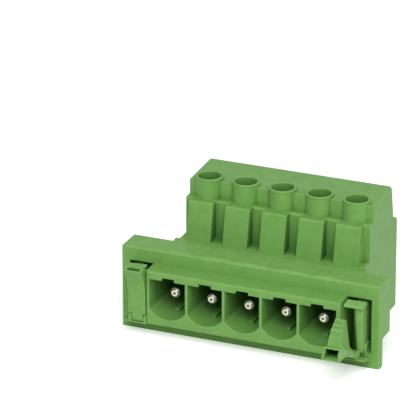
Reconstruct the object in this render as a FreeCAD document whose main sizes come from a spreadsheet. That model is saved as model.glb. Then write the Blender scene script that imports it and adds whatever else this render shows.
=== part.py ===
import FreeCAD, Part
import math
import os
import Sketcher
from types import SimpleNamespace

# Panel feed-through terminal block with five poles, in millimetres.
# X runs along the row of poles, +Z is up and the plug side faces -Y.
# The origin is the middle pole's pin axis at the plane where the panel seats.

Vector = FreeCAD.Vector
doc = FreeCAD.newDocument("terminal_block")
sheet = doc.addObject("Spreadsheet::Sheet", "sizes")
pieces = []


class Size:
    """A length that knows its number and the formula the document keeps for it."""

    def __init__(self, number, formula):
        self.number = number
        self.formula = formula

    def __add__(self, other):
        other = as_size(other)
        return Size(self.number + other.number, "(%s + %s)" % (self.formula, other.formula))

    def __sub__(self, other):
        other = as_size(other)
        return Size(self.number - other.number, "(%s - %s)" % (self.formula, other.formula))

    def __mul__(self, factor):
        return Size(self.number * factor, "(%s * (%.9g))" % (self.formula, factor))

    def __truediv__(self, factor):
        return self * (1.0 / factor)

    def __neg__(self):
        return self * -1


def as_size(value):
    if isinstance(value, Size):
        return value
    return Size(float(value), "(%.9g)" % value)


# Driving dimensions, each with what it measures
driving_sizes = {
    # Row of poles
    "pole_pitch": 7.62,  # distance between neighbouring poles
    # Header, the shroud that the plug enters
    "end_bay": 3.86,  # outer pin axis to the end of its plug chamber
    "header_top": 5.26,  # header top above the pin axis
    "header_drop": 5.8,  # header underside below the pin axis
    "header_reach": 3.85,  # header front ahead of the panel plane
    "end_wall": 0.7,  # end wall of the header
    "partition_wall": 0.5,  # wall between two plug chambers
    "chamber_roof": 3.71,  # chamber roof above the pin axis
    "chamber_side_drop": 2.5,  # lower end of the straight chamber walls
    "chamber_floor_sag": 1.85,  # depth of the rounded chamber floor
    "chamber_depth": 12.85,  # header front to chamber back
    "coding_width": 2.6,  # coding groove in the chamber roof
    "coding_height": 0.6,  # depth of the coding groove
    "coding_length": 7.0,  # length of the coding groove
    "floor_rib_width": 1.0,  # guide rib on the chamber floor
    "floor_rib_height": 0.5,  # height of the guide rib
    "floor_rib_setback": 4.6,  # header front to the guide rib
    # Flange, collar and neck behind the panel
    "flange_end": 1.7,  # flange beyond the latch pocket
    "flange_top": 8.14,  # flange top above the pin axis
    "housing_drop": 8.84,  # underside of the block below the pin axis
    "plate_thickness": 1.6,  # front plate of the flange
    "collar_depth": 5.7,  # deep upper part of the flange
    "collar_drop": 3.0,  # lower edge of the collar
    "collar_slope": 0.1,  # fall of the collar's lower face to the front
    "neck_top": 6.3,  # ledge behind the collar
    "neck_drop": 8.0,  # underside of the neck
    "neck_end": 11.0,  # joint plane between the two housings
    "boss_length": 1.3,  # locating boss that enters the rear housing
    "small_chamfer": 0.25,  # chamfer of the small moulded edges
    "collar_chamfer": 0.3,  # chamfer of the collar's upper and outer edges
    "rear_chamfer": 0.35,  # chamfer of the rear housing's outer edges
    "boss_clearance": 0.15,  # gap round a locating boss
    # Latch pockets at both ends of the header
    "latch_bay": 5.0,  # width of a latch pocket
    "pocket_top": 5.25,  # latch pocket roof
    "pocket_drop": 7.2,  # latch pocket floor below the pin axis
    "pocket_depth": 3.7,  # latch pocket depth behind the panel plane
    "pocket_wall": 0.5,  # wall of the latch pocket below the collar
    # Latch lever with its locking wedge
    "hinge_front": 3.05,  # lever axis ahead of the panel plane
    "hinge_drop": 5.0,  # lever axis below the pin axis
    "knuckle_radius": 0.8,  # lever knuckle and its ears
    "trunnion_radius": 0.5,  # stub shafts of the lever
    "trunnion_clearance": 0.05,  # running gap round a stub shaft
    "ear_width": 0.6,  # width of a hinge ear
    "latch_side_gap": 0.15,  # side gap between latch pieces
    "lever_width": 3.55,  # width of the lever
    "lever_skin": 0.9,  # thickness of the lever plate
    "lever_straight": 4.2,  # straight part of the lever above its axis
    "lever_length": 10.5,  # lever tip above its axis
    "lever_flare": 1.95,  # outward sweep of the lever tip
    "lever_back_wall": 0.6,  # inner wall of the hollow lever
    "lever_cheek": 0.6,  # outer cheek of the hollow lever
    "lever_inner_cheek": 0.35,  # inner cheek of the hollow lever
    "wedge_tooth": 0.3,  # depth of a wedge tooth
    "wedge_shoulder_rise": 1.2,  # lever wall above the wedge's toothed edge
    "wedge_reach": 5.6,  # wedge tip behind the lever axis
    "wedge_tip_low": 5.9,  # lower corner of the wedge tip above the axis
    "wedge_root_low": 3.1,  # root of the wedge's lower face above the axis
    "wedge_flare_width": 3.3,  # wedge width where it leaves the lever's wall
    "wedge_flare_length": 0.85,  # length of the flare at the wedge's root
    "wedge_press": 0.1,  # overlap with the unspread arm at the wedge's root
    # Spring arm that the wedge spreads
    "arm_axis_inset": 1.4,  # arm axis from the pocket's outer wall
    "arm_axis_drop": 6.1,  # arm axis below the pin axis
    "arm_barrel_radius": 0.75,  # round foot of the arm
    "arm_foot_clearance": 0.05,  # gap round the arm's foot
    "arm_room": 1.1,  # pocket's outer wall to the outer face of the arm
    "arm_top_thickness": 1.95,  # thickness of the column at its top
    "arm_base_thickness": 1.4,  # thickness of the column at its base
    "arm_base_drop": 5.0,  # lower end of the wide arm column
    "arm_waist": 1.1,  # thickness of the arm above its foot
    "arm_front": 1.9,  # arm front ahead of the panel plane
    "arm_back": 1.5,  # arm back behind the panel plane
    "arm_foot_front": 0.4,  # front of the foot ahead of the panel plane
    "arm_corner": 0.7,  # rounded inner front edge of the column
    "arm_foot_back": 3.4,  # back of the foot behind the panel plane
    "hook_setback": 0.4,  # inner end of the hook from the header's side
    "hook_overhang": 0.35,  # outer end of the hook past the column
    "hook_bottom": 4.25,  # underside of the hook
    "hook_front": 2.8,  # front of the hook ahead of the panel plane
    "hook_back": 0.6,  # back of the hook ahead of the panel plane
    "hook_front_top": 4.75,  # top of the hook at its front
    "hook_back_top": 4.95,  # top of the hook at its back
    # Rear housing with the clamps
    "rear_face": 29.7,  # rear face behind the panel plane
    "rear_step_height": 9.6,  # step in the rear face
    "rear_step_in": 2.1,  # upper rear face ahead of the lower one
    "rear_step_rise": 0.7,  # height of the sloping step
    "rear_top_edge": 26.2,  # rear edge of the top
    "rear_top": 17.57,  # height of the rear top edge
    "top_fall": 0.4,  # fall of the top towards the front
    "tower_wall_front": 16.1,  # front of the wall behind the towers
    "shelf_height": 13.87,  # shelf under the towers
    "body_front": 14.2,  # front wall of the rear housing
    "rib_width": 5.0,  # block in front of each pole
    "rib_foot": 3.2,  # reach of a block at its foot
    "rib_head": 1.6,  # reach of a block at its top
    "screw_axis": 16.9,  # screw axis behind the panel plane
    "tower_radius": 2.725,  # outside of a screw tower
    "tower_top": 17.83,  # rim of a screw tower
    "access_radius": 2.225,  # driver bore in a tower
    "head_cover": 0.5,  # driver bore's lower end above the screw head
    "head_side_gap": 0.06,  # gap round the screw head
    "head_seat": 8.4,  # floor that carries the screw head
    # Clamp chambers and wire funnels
    "cage_side_gap": 0.15,  # gap beside a clamp cage
    "clamp_roof": 5.3,  # roof of the clamp chamber's mouth
    "lift_room_top": 7.4,  # roof of the room that the cage rises into
    "cage_gap": 0.2,  # gap before, behind and below a cage
    "wire_entry_half": 2.3,  # half width of a wire entry
    "wire_entry_top": 0.8,  # top of a wire entry below the pin axis
    "wire_entry_drop": 5.2,  # bottom of a wire entry below the pin axis
    "funnel_growth": 0.6,  # widening of a wire entry at the rear face
    "funnel_length": 2.6,  # length of the widening
    # Metal parts
    "pin_radius": 0.975,  # contact pin
    "pin_square": 1.15,  # half side of the square stretch of the pin in its wall
    "pin_tip": 0.6,  # pin tip ahead of the panel plane
    "pin_chamfer": 0.4,  # chamfer at the pin tip
    "pin_clearance": 0.03,  # gap round a pin in its wall
    "bar_thickness": 0.9,  # flattened tail of the pin
    "bar_half_width": 1.8,  # half width of the flattened tail
    "bar_taper": 1.2,  # length of the change from round to flat
    "bar_overhang": 0.1,  # tail past the cage
    "cage_half": 3.0,  # half width of a clamp cage
    "cage_side": 0.8,  # side wall of a clamp cage
    "cage_depth": 4.2,  # clamp cage along the wire
    "cage_floor": 0.9,  # floor of a clamp cage
    "cage_window_drop": 5.4,  # window floor below the pin axis
    "cage_window_top": 1.5,  # window roof above the pin axis
    "cage_block": 1.5,  # threaded block of a clamp cage
    "screw_radius": 1.5,  # screw shank
    "screw_clearance": 0.04,  # gap between screw and cage thread
    "shank_passage": 0.2,  # gap round the shank in the housing
    "screw_rest": 0.03,  # gap between screw tip and contact tail
    "head_rest": 0.05,  # gap under the screw head
    "head_radius": 1.8,  # screw head
    "head_height": 1.95,  # height of the screw head
    "head_edge": 0.25,  # rounded edge of the screw head
    "slot_width": 0.7,  # driver slot
    "slot_depth": 1.0,  # depth of the driver slot
}
pole_count = 5
wedge_teeth = 4
lever_open_angle = 60.0
arm_spread_angle = 3.6

for row, (alias, value) in enumerate(driving_sizes.items(), start=1):
    sheet.set("A%d" % row, alias)
    sheet.set("B%d" % row, "%.9g" % value)
    sheet.setAlias("B%d" % row, alias)
dim = SimpleNamespace(**{alias: Size(value, "sizes." + alias) for alias, value in driving_sizes.items()})

# Sizes that follow from the driving ones
header_half_width = dim.pole_pitch * ((pole_count - 1) / 2) + dim.end_bay + dim.end_wall
rear_half_width = dim.pole_pitch * (pole_count / 2)
pocket_outer = header_half_width + dim.latch_bay
flange_half_width = pocket_outer + dim.flange_end
arm_axis_out = pocket_outer - dim.arm_axis_inset
arm_outer = pocket_outer - dim.arm_room
arm_inner_top = arm_outer - dim.arm_top_thickness
arm_inner_base = arm_outer - dim.arm_base_thickness
hook_inner = header_half_width + dim.hook_setback
hook_outer = arm_outer + dim.hook_overhang
lever_side = header_half_width + dim.latch_side_gap
wedge_tip_width = arm_inner_top - lever_side
wedge_root_width = arm_inner_base - lever_side + dim.wedge_press
wedge_radius = dim.hook_bottom + dim.hinge_drop - dim.latch_side_gap
wedge_shoulder = wedge_radius + dim.wedge_shoulder_rise
chamber_floor = -dim.chamber_side_drop - dim.chamber_floor_sag
chamber_half = dim.cage_half + dim.cage_side_gap
clamp_drop = dim.cage_window_drop + dim.cage_floor + dim.cage_gap
screw_head_top = dim.head_seat + dim.head_rest + dim.head_height
access_end = screw_head_top + dim.head_cover
doc.recompute()

PLANES = {"XY": ("XY_Plane", 1), "XZ": ("XZ_Plane", -1), "YZ": ("YZ_Plane", 1)}


def new_body(label):
    body = doc.addObject("PartDesign::Body", label)
    body.Label = label
    pieces.append(body)
    return body


def origin_item(body, role):
    for item in body.Origin.OriginFeatures:
        if item.Role == role:
            return item
    raise ValueError("no " + role)


def sketch_on(body, plane, name, at=0):
    """A sketch parallel to an origin plane of its own body, at a coordinate along its normal."""
    role, sense = PLANES[plane]
    sketch = body.newObject("Sketcher::SketchObject", name)
    sketch.AttachmentSupport = [(origin_item(body, role), "")]
    sketch.MapMode = "FlatFace"
    offset = as_size(at) * sense
    sketch.AttachmentOffset = FreeCAD.Placement(Vector(0, 0, offset.number), FreeCAD.Rotation())
    sketch.setExpression("AttachmentOffset.Base.z", offset.formula)
    return sketch


def pin_down(sketch, kind, item, point, size):
    size = as_size(size)
    index = sketch.addConstraint(Sketcher.Constraint(kind, -1, 1, item, point, size.number))
    sketch.setExpression("Constraints[%d]" % index, size.formula)


def arc_radius(half_chord, sag):
    """Radius of the arc that rises by sag over half its chord."""
    number = (half_chord.number ** 2 + sag.number ** 2) / (2 * sag.number)
    return Size(number, "((%s^2 + %s^2) / (2 * %s))" % (half_chord.formula, sag.formula, sag.formula))


def arc_between(start, end, radius):
    """The short arc from start to end; a positive radius turns anticlockwise."""
    chord = end - start
    half = chord.Length / 2
    side = Vector(-chord.y, chord.x, 0).normalize()
    rise = math.sqrt(radius * radius - half * half)
    centre = (start + end) * 0.5 + side * (rise if radius > 0 else -rise)
    first, last = (start, end) if radius > 0 else (end, start)
    angles = [math.atan2(p.y - centre.y, p.x - centre.x) for p in (first, last)]
    if angles[1] < angles[0]:
        angles[1] += 2 * math.pi
    return Part.ArcOfCircle(Part.Circle(centre, Vector(0, 0, 1), abs(radius)), angles[0], angles[1])


def outline(sketch, corners):
    """Closed outline; a corner is (x, y), or (x, y, radius) where an arc leads to it."""
    spots = [Vector(as_size(c[0]).number, as_size(c[1]).number, 0) for c in corners]
    ends = []
    for i, corner in enumerate(corners):
        before = spots[i - 1]
        if len(corner) == 3:
            radius = as_size(corner[2])
            item = sketch.addGeometry(arc_between(before, spots[i], radius.number), False)
            ends.append((item, 1, 2) if radius.number > 0 else (item, 2, 1))
            index = sketch.addConstraint(Sketcher.Constraint("Radius", item, abs(radius.number)))
            sketch.setExpression("Constraints[%d]" % index, "abs(%s)" % radius.formula)
        else:
            item = sketch.addGeometry(Part.LineSegment(before, spots[i]), False)
            ends.append((item, 1, 2))
    for i, corner in enumerate(corners):
        item, _, finish = ends[i]
        after, start, _ = ends[(i + 1) % len(corners)]
        sketch.addConstraint(Sketcher.Constraint("Coincident", item, finish, after, start))
        pin_down(sketch, "DistanceX", item, finish, corner[0])
        pin_down(sketch, "DistanceY", item, finish, corner[1])


def box_outline(sketch, left, right, low, high):
    outline(sketch, [(left, low), (right, low), (right, high), (left, high)])


def ring(sketch, x, y, radius):
    """A full circle."""
    centre = Vector(as_size(x).number, as_size(y).number, 0)
    radius = as_size(radius)
    item = sketch.addGeometry(Part.Circle(centre, Vector(0, 0, 1), radius.number), False)
    pin_down(sketch, "DistanceX", item, 3, x)
    pin_down(sketch, "DistanceY", item, 3, y)
    index = sketch.addConstraint(Sketcher.Constraint("Radius", item, radius.number))
    sketch.setExpression("Constraints[%d]" % index, radius.formula)


def finish_feature(body, feature, grows):
    before = body.Shape.Volume if body.Shape and not body.Shape.isNull() else 0.0
    doc.recompute()
    after = body.Shape.Volume
    changed = after > before if grows else after < before
    if not changed:
        raise ValueError("%s in %s changes nothing" % (feature.Name, body.Label))


def pad(body, sketch, length, plane):
    """Add material from the sketch towards the plane's + axis."""
    feature = body.newObject("PartDesign::Pad", sketch.Name + "_pad")
    feature.Profile = sketch
    length = as_size(length)
    feature.Length = length.number
    feature.setExpression("Length", length.formula)
    feature.Reversed = PLANES[plane][1] < 0
    finish_feature(body, feature, True)
    return feature


def pocket(body, sketch, depth, plane, towards):
    """Cut from the sketch; towards is +1 or -1 along the plane's axis."""
    feature = body.newObject("PartDesign::Pocket", sketch.Name + "_pocket")
    feature.Profile = sketch
    depth = as_size(depth)
    feature.Length = depth.number
    feature.setExpression("Length", depth.formula)
    feature.Reversed = PLANES[plane][1] == towards
    finish_feature(body, feature, False)
    return feature


def slab(body, name, plane, start, end, corners):
    """A prism on corners, from start to end along the plane's axis."""
    sketch = sketch_on(body, plane, name, start)
    outline(sketch, corners)
    return pad(body, sketch, as_size(end) - start, plane)


def trench(body, name, plane, start, end, corners):
    """A prism cut away, from start to end along the plane's axis."""
    sketch = sketch_on(body, plane, name, start)
    outline(sketch, corners)
    return pocket(body, sketch, as_size(end) - start, plane, 1)


def disc(body, name, plane, start, end, x, y, radius):
    sketch = sketch_on(body, plane, name, start)
    ring(sketch, x, y, radius)
    return pad(body, sketch, as_size(end) - start, plane)


def drill(body, name, plane, start, end, centres, radius):
    """Round holes from start to end along the plane's axis, one at each centre."""
    sketch = sketch_on(body, plane, name, start)
    for x, y in centres:
        ring(sketch, x, y, radius)
    return pocket(body, sketch, as_size(end) - start, plane, 1)


def rectangle(left, right, low, high):
    return [(left, low), (right, low), (right, high), (left, high)]


def soften(body, kind, name, setting, size, wanted):
    """Round or chamfer the edges whose middle point answers wanted."""
    base = body.Tip
    names = []
    for number, edge in enumerate(base.Shape.Edges, start=1):
        middle = edge.valueAt((edge.FirstParameter + edge.LastParameter) / 2)
        if wanted(middle):
            names.append("Edge%d" % number)
    feature = body.newObject(kind, name)
    feature.Base = (base, names)
    size = as_size(size)
    setattr(feature, setting, size.number)
    feature.setExpression(setting, size.formula)
    doc.recompute()


def fillet(body, name, radius, wanted):
    soften(body, "PartDesign::Fillet", name, "Radius", radius, wanted)


def chamfer(body, name, size, wanted):
    soften(body, "PartDesign::Chamfer", name, "Size", size, wanted)


def place(body, x=0, y=0, z=0, axis=None, angle=0.0):
    rotation = FreeCAD.Rotation(axis, angle) if axis else FreeCAD.Rotation()
    sizes = [as_size(value) for value in (x, y, z)]
    body.Placement = FreeCAD.Placement(Vector(*[s.number for s in sizes]), rotation)
    for letter, size in zip("xyz", sizes):
        body.setExpression("Placement.Base." + letter, size.formula)


def pole_x(pole):
    """Pole axis; poles count from 1 at the left."""
    return dim.pole_pitch * (pole - (pole_count + 1) / 2)


poles = range(1, pole_count + 1)
joint_front = dim.neck_end
header_front = -dim.header_reach
chamber_back = header_front + dim.chamber_depth


def front_housing():
    """Header, flange and neck, moulded in one piece."""
    body = new_body("front_housing")
    slab(body, "header", "XZ", header_front, dim.collar_depth,
         rectangle(-header_half_width, header_half_width, -dim.header_drop, dim.header_top))
    front = header_front.number
    chamfer(body, "header_rim", dim.small_chamfer, lambda m: same(m.y, front))
    slab(body, "front_plate", "XZ", 0, dim.plate_thickness,
         rectangle(-flange_half_width, flange_half_width, -dim.housing_drop, dim.flange_top))
    collar_foot = -dim.collar_drop
    slab(body, "collar", "YZ", -flange_half_width, flange_half_width,
         [(0, collar_foot - dim.collar_slope), (dim.collar_depth, collar_foot),
          (dim.collar_depth, dim.flange_top), (0, dim.flange_top)])
    trim_collar(body)
    slab(body, "neck", "XZ", 0, joint_front,
         rectangle(-header_half_width, header_half_width, -dim.neck_drop, dim.neck_top))
    half = chamber_half - dim.boss_clearance
    for pole in poles:
        centre = pole_x(pole)
        slab(body, "boss_%d" % pole, "XZ", joint_front, joint_front + dim.boss_length,
             rectangle(centre - half, centre + half, -clamp_drop + dim.boss_clearance,
                       dim.clamp_roof - dim.boss_clearance))
    latch_boxes(body)
    plug_chambers(body)
    hole = dim.pin_square + dim.pin_clearance
    sketch = sketch_on(body, "XZ", "pin_holes", chamber_back)
    for pole in poles:
        centre = pole_x(pole)
        box_outline(sketch, centre - hole, centre + hole, -hole, hole)
    pocket(body, sketch, joint_front + dim.boss_length - chamber_back, "XZ", 1)
    return body


def trim_collar(body):
    """Chamfered upper and outer edges of the collar."""
    back = dim.collar_depth.number
    top = dim.flange_top.number
    foot = -dim.collar_drop.number
    end = flange_half_width.number
    chamfer(body, "collar_rim", dim.collar_chamfer,
            lambda m: same(m.z, top) and (same(m.y, 0) or same(m.y, back))
            or same(abs(m.x), end) and m.z > foot and (same(m.y, 0) or same(m.y, back) or same(m.z, top)))


def same(one, other):
    return abs(one - other) < 0.01


def latch_boxes(body):
    """Pockets beside the header with the bearings of lever and arm."""
    outer = pocket_outer + dim.pocket_wall
    for side, word in ((1, "right"), (-1, "left")):
        low, high = across(side, rear_half_width, outer)
        slab(body, "latch_box_" + word, "XZ", 0, dim.pocket_depth + dim.pocket_wall,
             rectangle(low, high, -dim.pocket_drop - dim.pocket_wall, dim.pocket_top))
        low, high = across(side, header_half_width, pocket_outer)
        trench(body, "latch_room_" + word, "XZ", 0, dim.pocket_depth,
               rectangle(low, high, -dim.pocket_drop, dim.pocket_top))
        lever_bracket(body, side, word)
        arm_foot_bearing(body, side, word)


def across(side, inner, outer):
    """The two X values of a span beside the middle, lowest first."""
    if side > 0:
        return as_size(inner), as_size(outer)
    return -as_size(outer), -as_size(inner)


def arm_foot_bearing(body, side, word):
    """Round-bottomed seat in the pocket floor that holds the arm's foot."""
    low, high = across(side, arm_axis_out - dim.arm_barrel_radius - dim.pocket_wall, pocket_outer)
    top = -dim.arm_axis_drop + dim.arm_barrel_radius * 0.4
    slab(body, "foot_seat_" + word, "XZ", -dim.arm_foot_front - dim.pocket_wall, dim.pocket_depth,
         rectangle(low, high, -dim.pocket_drop, top))
    drill(body, "foot_groove_" + word, "XZ", -dim.arm_foot_front - dim.latch_side_gap, dim.pocket_depth,
          [(arm_axis_out * side, -dim.arm_axis_drop)], dim.arm_barrel_radius + dim.arm_foot_clearance)


def lever_bracket(body, side, word):
    """Sloping bracket below the lever and the two ears that its stub shafts turn in."""
    low, high = across(side, header_half_width, pocket_outer)
    hinge_y = -dim.hinge_front
    hinge_z = -dim.hinge_drop
    slab(body, "bracket_" + word, "YZ", low, high,
         [(0, -dim.pocket_drop), (dim.plate_thickness, -dim.pocket_drop),
          (dim.plate_thickness, -dim.pocket_drop + dim.pocket_wall),
          (0, -dim.pocket_drop + dim.knuckle_radius),
          (hinge_y + dim.knuckle_radius, hinge_z - dim.knuckle_radius),
          (hinge_y - dim.knuckle_radius * 0.7, hinge_z - dim.knuckle_radius),
          (hinge_y - dim.knuckle_radius * 0.7, hinge_z - dim.knuckle_radius * 1.3),
          (hinge_y + dim.knuckle_radius, hinge_z - dim.knuckle_radius * 1.7)])
    inner_ear = (header_half_width, header_half_width + dim.ear_width)
    lever_outer = header_half_width + dim.latch_side_gap + dim.lever_width
    outer_ear = (lever_outer - dim.ear_width, lever_outer)
    for tag, (near_end, far_end) in (("inner", inner_ear), ("outer", outer_ear)):
        low, high = across(side, near_end, far_end)
        slab(body, "%s_ear_%s" % (tag, word), "YZ", low, high,
             [(hinge_y - dim.knuckle_radius, hinge_z - dim.knuckle_radius * 1.2),
              (hinge_y + dim.knuckle_radius, hinge_z - dim.knuckle_radius * 1.2),
              (hinge_y + dim.knuckle_radius, hinge_z),
              (hinge_y, hinge_z + dim.knuckle_radius, dim.knuckle_radius),
              (hinge_y - dim.knuckle_radius, hinge_z, dim.knuckle_radius)])
    low, high = across(side, header_half_width + dim.latch_side_gap * 0.4, lever_outer)
    drill(body, "ear_holes_" + word, "YZ", low, high, [(hinge_y, hinge_z)],
          dim.trunnion_radius + dim.trunnion_clearance)


def plug_chambers(body):
    """Five chambers with rounded floors, open to the front, each with a coding groove."""
    sketch = sketch_on(body, "XZ", "chambers", header_front)
    for pole in poles:
        centre = pole_x(pole)
        half = (dim.pole_pitch - dim.partition_wall) / 2
        left = centre - half if pole > 1 else -header_half_width + dim.end_wall
        right = centre + half if pole < pole_count else header_half_width - dim.end_wall
        floor_radius = arc_radius((right - left) / 2, dim.chamber_floor_sag)
        outline(sketch, [(left, dim.chamber_roof), (left, -dim.chamber_side_drop),
                         (right, -dim.chamber_side_drop, floor_radius), (right, dim.chamber_roof)])
    pocket(body, sketch, dim.chamber_depth, "XZ", 1)
    sketch = sketch_on(body, "XZ", "coding_grooves", header_front)
    for pole in poles:
        centre = pole_x(pole)
        box_outline(sketch, centre - dim.coding_width / 2, centre + dim.coding_width / 2,
                    dim.chamber_roof - dim.coding_height, dim.chamber_roof + dim.coding_height)
    pocket(body, sketch, dim.coding_length, "XZ", 1)
    for pole in poles:
        centre = pole_x(pole)
        slab(body, "floor_rib_%d" % pole, "XZ", header_front + dim.floor_rib_setback, chamber_back,
             rectangle(centre - dim.floor_rib_width / 2, centre + dim.floor_rib_width / 2,
                       chamber_floor - dim.floor_rib_height, chamber_floor + dim.floor_rib_height))


def rear_housing():
    """Clamp housing: screw towers on top, wire entries at the rear."""
    body = new_body("rear_housing")
    upper_rear = dim.rear_face - dim.rear_step_in
    slab(body, "side_profile", "YZ", -rear_half_width, rear_half_width,
         [(joint_front, -dim.housing_drop), (dim.rear_face, -dim.housing_drop),
          (dim.rear_face, dim.rear_step_height),
          (upper_rear, dim.rear_step_height + dim.rear_step_rise), (dim.rear_top_edge, dim.rear_top),
          (dim.tower_wall_front, dim.rear_top - dim.top_fall), (dim.tower_wall_front, dim.shelf_height),
          (dim.body_front, dim.shelf_height), (dim.body_front, dim.neck_top), (joint_front, dim.neck_top)])
    for pole in poles:
        centre = pole_x(pole)
        slab(body, "block_%d" % pole, "YZ", centre - dim.rib_width / 2, centre + dim.rib_width / 2,
             [(dim.body_front, dim.neck_top), (dim.body_front, dim.shelf_height),
              (dim.body_front - dim.rib_head, dim.shelf_height),
              (dim.body_front - dim.rib_foot, dim.neck_top)])
    sketch = sketch_on(body, "XY", "towers", dim.shelf_height)
    for pole in poles:
        ring(sketch, pole_x(pole), dim.screw_axis, dim.tower_radius)
    pad(body, sketch, dim.tower_top - dim.shelf_height, "XY")
    axes = [(pole_x(pole), dim.screw_axis) for pole in poles]
    drill(body, "driver_bores", "XY", access_end, dim.tower_top, axes, dim.access_radius)
    drill(body, "head_bores", "XY", dim.head_seat, access_end, axes, dim.head_radius + dim.head_side_gap)
    drill(body, "shank_bores", "XY", dim.lift_room_top, dim.head_seat, axes,
          dim.screw_radius + dim.shank_passage)
    clamp_chambers(body)
    trim_rear_housing(body)
    return body


def trim_rear_housing(body):
    """Chamfered outer edges behind the towers and at the fronts of the blocks."""
    side = rear_half_width.number
    wall = dim.tower_wall_front.number
    base = -dim.housing_drop.number
    shelf = dim.shelf_height.number
    block_top = dim.body_front.number - dim.rib_head.number
    top_edge = dim.rear_top_edge.number
    chamfer(body, "rear_rim", dim.rear_chamfer,
            lambda m: same(abs(m.x), side) and m.y > wall + 0.01 and m.z > base + 0.01
            or same(m.y, top_edge) and same(m.z, dim.rear_top.number))
    chamfer(body, "shelf_rim", dim.small_chamfer,
            lambda m: same(m.z, shelf) and (same(m.y, dim.body_front.number) or same(m.y, block_top)))


def clamp_chambers(body):
    """Rooms for the cages, open to the front housing, and the wire entries behind them."""
    cage_front = dim.screw_axis - dim.cage_depth / 2 - dim.cage_gap
    cage_back = dim.screw_axis + dim.cage_depth / 2 + dim.cage_gap
    sketch = sketch_on(body, "XZ", "clamp_rooms", joint_front)
    for pole in poles:
        centre = pole_x(pole)
        box_outline(sketch, centre - chamber_half, centre + chamber_half,
                    -clamp_drop, dim.clamp_roof)
    pocket(body, sketch, cage_back - joint_front, "XZ", 1)
    sketch = sketch_on(body, "XZ", "lift_rooms", cage_front)
    for pole in poles:
        centre = pole_x(pole)
        box_outline(sketch, centre - chamber_half, centre + chamber_half,
                    as_size(0), dim.lift_room_top)
    pocket(body, sketch, cage_back - cage_front, "XZ", 1)
    sketch = sketch_on(body, "XZ", "wire_entries", cage_back)
    for pole in poles:
        entry_outline(sketch, pole_x(pole))
    pocket(body, sketch, dim.rear_face - cage_back, "XZ", 1)
    for pole in poles:
        funnel(body, pole)


def entry_outline(sketch, centre, growth=0):
    box_outline(sketch, centre - dim.wire_entry_half - growth, centre + dim.wire_entry_half + growth,
                -dim.wire_entry_drop - growth, -dim.wire_entry_top + growth)


def funnel(body, pole):
    """Sloping widening of a wire entry, lofted to the rear face."""
    narrow = sketch_on(body, "XZ", "funnel_end_%d" % pole, dim.rear_face - dim.funnel_length)
    entry_outline(narrow, pole_x(pole))
    wide = sketch_on(body, "XZ", "funnel_mouth_%d" % pole, dim.rear_face)
    entry_outline(wide, pole_x(pole), dim.funnel_growth)
    loft = body.newObject("PartDesign::SubtractiveLoft", "funnel_%d" % pole)
    loft.Profile = narrow
    loft.Sections = [wide]
    loft.Ruled = True
    finish_feature(body, loft, False)


def contact_pin(pole):
    """Copper alloy pin: round in the chamber, square in its wall, flat where the clamp grips it."""
    body = new_body("contact_pin_%d" % pole)
    flat_start = joint_front + dim.boss_length
    flat_end = dim.screw_axis + dim.cage_depth / 2 + dim.bar_overhang
    sketch = sketch_on(body, "XY", "half_section_%d" % pole)
    outline(sketch, [(0, -dim.pin_tip), (dim.pin_radius - dim.pin_chamfer, -dim.pin_tip),
                     (dim.pin_radius, -dim.pin_tip + dim.pin_chamfer), (dim.pin_radius, chamber_back),
                     (0, chamber_back)])
    turned = body.newObject("PartDesign::Revolution", "shaft_%d" % pole)
    turned.Profile = sketch
    turned.ReferenceAxis = (sketch, ["V_Axis"])
    turned.Angle = 360
    finish_feature(body, turned, True)
    square = dim.pin_square
    slab(body, "square_%d" % pole, "XZ", chamber_back, flat_start,
         rectangle(-square, square, -square, square))
    half = dim.bar_thickness / 2
    slab(body, "tail_%d" % pole, "XY", -half, half,
         [(dim.pin_radius, flat_start), (dim.bar_half_width, flat_start + dim.bar_taper),
          (dim.bar_half_width, flat_end), (-dim.bar_half_width, flat_end),
          (-dim.bar_half_width, flat_start + dim.bar_taper), (-dim.pin_radius, flat_start)])
    place(body, pole_x(pole))
    return body


def clamp_cage(pole):
    """Folded steel cage that lifts the wire against the pin's tail."""
    body = new_body("clamp_cage_%d" % pole)
    start = dim.screw_axis - dim.cage_depth / 2
    end = dim.screw_axis + dim.cage_depth / 2
    floor = -dim.cage_window_drop - dim.cage_floor
    top = dim.cage_window_top + dim.cage_block
    slab(body, "cage_outline_%d" % pole, "XZ", start, end,
         rectangle(-dim.cage_half, dim.cage_half, floor, top))
    inner = dim.cage_half - dim.cage_side
    trench(body, "cage_window_%d" % pole, "XZ", start, end,
           rectangle(-inner, inner, -dim.cage_window_drop, dim.cage_window_top))
    drill(body, "cage_thread_%d" % pole, "XY", dim.cage_window_top, top, [(as_size(0), dim.screw_axis)],
          dim.screw_radius + dim.screw_clearance)
    place(body, pole_x(pole))
    return body


def clamp_screw(pole):
    """Slotted clamp screw, its thread left plain."""
    body = new_body("clamp_screw_%d" % pole)
    tip = dim.bar_thickness / 2 + dim.screw_rest
    under_head = dim.head_seat + dim.head_rest
    sketch = sketch_on(body, "XZ", "screw_section_%d" % pole)
    outline(sketch, [(0, tip), (dim.screw_radius, tip), (dim.screw_radius, under_head),
                     (dim.head_radius, under_head),
                     (dim.head_radius, screw_head_top - dim.head_edge),
                     (dim.head_radius - dim.head_edge, screw_head_top),
                     (0, screw_head_top)])
    turned = body.newObject("PartDesign::Revolution", "screw_form_%d" % pole)
    turned.Profile = sketch
    turned.ReferenceAxis = (sketch, ["V_Axis"])
    turned.Angle = 360
    finish_feature(body, turned, True)
    trench(body, "driver_slot_%d" % pole, "XY", screw_head_top - dim.slot_depth, screw_head_top,
           rectangle(-dim.head_radius, dim.head_radius, -dim.slot_width / 2, dim.slot_width / 2))
    place(body, pole_x(pole), dim.screw_axis)
    return body


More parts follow.
